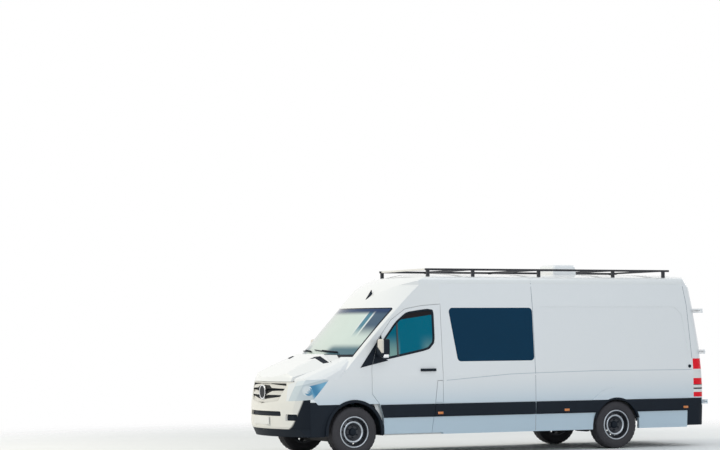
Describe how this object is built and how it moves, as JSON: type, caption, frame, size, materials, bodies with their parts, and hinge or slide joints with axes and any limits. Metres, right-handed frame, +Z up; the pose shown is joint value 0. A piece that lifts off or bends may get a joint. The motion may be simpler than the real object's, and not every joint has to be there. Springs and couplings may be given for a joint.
{
  "type": "high roof camper van",
  "caption": "Long high-roof panel van converted to a camper, with roof rack, side windows, swing rear doors, opening hood and rolling, steering wheels.",
  "frame": {"origin": "on the ground under the middle of the vehicle's length and width", "axes": "+X forward, +Y to the vehicle's left, +Z up"},
  "size_m": [6.945, 2.426, 2.7479],
  "materials": {
    "body_paint": "gloss white paint",
    "black_plastic": "grained black plastic",
    "bumper_paint": "satin light grey paint",
    "chassis_paint": "matt black chassis paint",
    "window_glass": "green tinted glass",
    "dark_glass": "dark privacy glass",
    "lamp_lens": "clear moulded lens",
    "rear_lens": "red and clear lens",
    "tyre_rubber": "black rubber",
    "wheel_paint": "dark wheel paint with a bright ring",
    "hub_iron": "cast iron",
    "seat_cloth": "dark woven cloth",
    "interior_plastic": "grained dark plastic",
    "rack_metal": "black coated aluminium",
    "vent_plastic": "white plastic",
    "steel": "bare steel",
    "floor_coat": "grey floor coating"
  },
  "bodies": {
    "van_body": {"bumper_front": "bumper_paint", "bumper_rear": "black_plastic", "cab_top": "body_paint", "chassis_frame": "chassis_paint", "dashboard": "interior_plastic", "door_frames": "body_paint", "engine_block": "hub_iron", "fenders": "body_paint", "floor": "floor_coat", "front_seats": "seat_cloth", "front_suspension": "chassis_paint", "front_trim": "black_plastic", "grille": "bumper_paint", "headlamps": "lamp_lens", "rear_axle": "hub_iron", "rear_lamps": "rear_lens", "roof": "body_paint", "roof_rack": "rack_metal", "roof_vent": "vent_plastic", "side_panel_left": "body_paint", "side_panel_right": "body_paint", "side_trim": "black_plastic", "side_windows": "dark_glass", "sliding_door": "body_paint", "underbody": "steel", "windscreen": "window_glass"},
    "door_left": {"door_left": "body_paint", "door_glass_left": "window_glass", "mirror_left": "black_plastic"},
    "door_right": {"door_right": "body_paint", "door_glass_right": "window_glass", "mirror_right": "black_plastic"},
    "rear_door_left": {"rear_door_left": "body_paint", "rear_glass_left": "dark_glass"},
    "rear_door_right": {"rear_door_right": "body_paint", "rear_glass_right": "dark_glass"},
    "hood": {"hood": "body_paint", "hood_vents": "black_plastic"},
    "fuel_flap": {"fuel_flap": "body_paint"},
    "vent_lid": {"vent_lid": "vent_plastic"},
    "knuckle_left": {"knuckle_left": "hub_iron"},
    "knuckle_right": {"knuckle_right": "hub_iron"},
    "wheel_front_left": {"tyre_front_left": "tyre_rubber", "rim_front_left": "wheel_paint"},
    "wheel_front_right": {"tyre_front_right": "tyre_rubber", "rim_front_right": "wheel_paint"},
    "wheel_rear_left": {"tyre_rear_left": "tyre_rubber", "rim_rear_left": "wheel_paint"},
    "wheel_rear_right": {"tyre_rear_right": "tyre_rubber", "rim_rear_right": "wheel_paint"}
  },
  "joints": [
    {"name": "steer_left", "type": "hinge", "parent": "van_body", "child": "knuckle_left", "pos_m": [2.4685, 0.79, 0.35], "axis": [0, 0, 1], "range_deg": [-35, 35]},
    {"name": "steer_right", "type": "hinge", "parent": "van_body", "child": "knuckle_right", "pos_m": [2.4685, -0.79, 0.35], "axis": [0, 0, 1], "range_deg": [-35, 35]},
    {"name": "roll_front_left", "type": "hinge", "parent": "knuckle_left", "child": "wheel_front_left", "pos_m": [2.4685, 0.858, 0.35], "axis": [0, 1, 0], "continuous": true},
    {"name": "roll_rear_left", "type": "hinge", "parent": "van_body", "child": "wheel_rear_left", "pos_m": [-1.8565, 0.858, 0.35], "axis": [0, 1, 0], "continuous": true},
    {"name": "door_left_swing", "type": "hinge", "parent": "van_body", "child": "door_left", "pos_m": [2.19325, 0.985, 1.2], "axis": [0, 0, -1], "range_deg": [0, 70]},
    {"name": "rear_door_left_swing", "type": "hinge", "parent": "van_body", "child": "rear_door_left", "pos_m": [-3.4635, 1, 0.6], "axis": [-0.0499, 0, -0.9988], "range_deg": [0, 270]},
    {"name": "roll_front_right", "type": "hinge", "parent": "knuckle_right", "child": "wheel_front_right", "pos_m": [2.4685, -0.858, 0.35], "axis": [0, 1, 0], "continuous": true},
    {"name": "roll_rear_right", "type": "hinge", "parent": "van_body", "child": "wheel_rear_right", "pos_m": [-1.8565, -0.858, 0.35], "axis": [0, 1, 0], "continuous": true},
    {"name": "door_right_swing", "type": "hinge", "parent": "van_body", "child": "door_right", "pos_m": [2.19325, -0.985, 1.2], "axis": [0, 0, 1], "range_deg": [0, 70]},
    {"name": "rear_door_right_swing", "type": "hinge", "parent": "van_body", "child": "rear_door_right", "pos_m": [-3.4635, -1, 0.6], "axis": [0.0499, 0, 0.9988], "range_deg": [0, 270]},
    {"name": "hood_swing", "type": "hinge", "parent": "van_body", "child": "hood", "pos_m": [2.7085, 0, 1.44], "axis": [0, -1, 0], "range_deg": [0, 55]},
    {"name": "vent_lid_swing", "type": "hinge", "parent": "van_body", "child": "vent_lid", "pos_m": [-1.6615, 0, 2.6603], "axis": [0, -1, 0], "range_deg": [0, 60]},
    {"name": "fuel_flap_swing", "type": "hinge", "parent": "van_body", "child": "fuel_flap", "pos_m": [1.0605, 0.982, 0.9], "axis": [0, 0, 1], "range_deg": [0, 85]}
  ],
  "couplings": [
    {"joint": "steer_right", "follows": "steer_left", "ratio": 1}
  ]
}
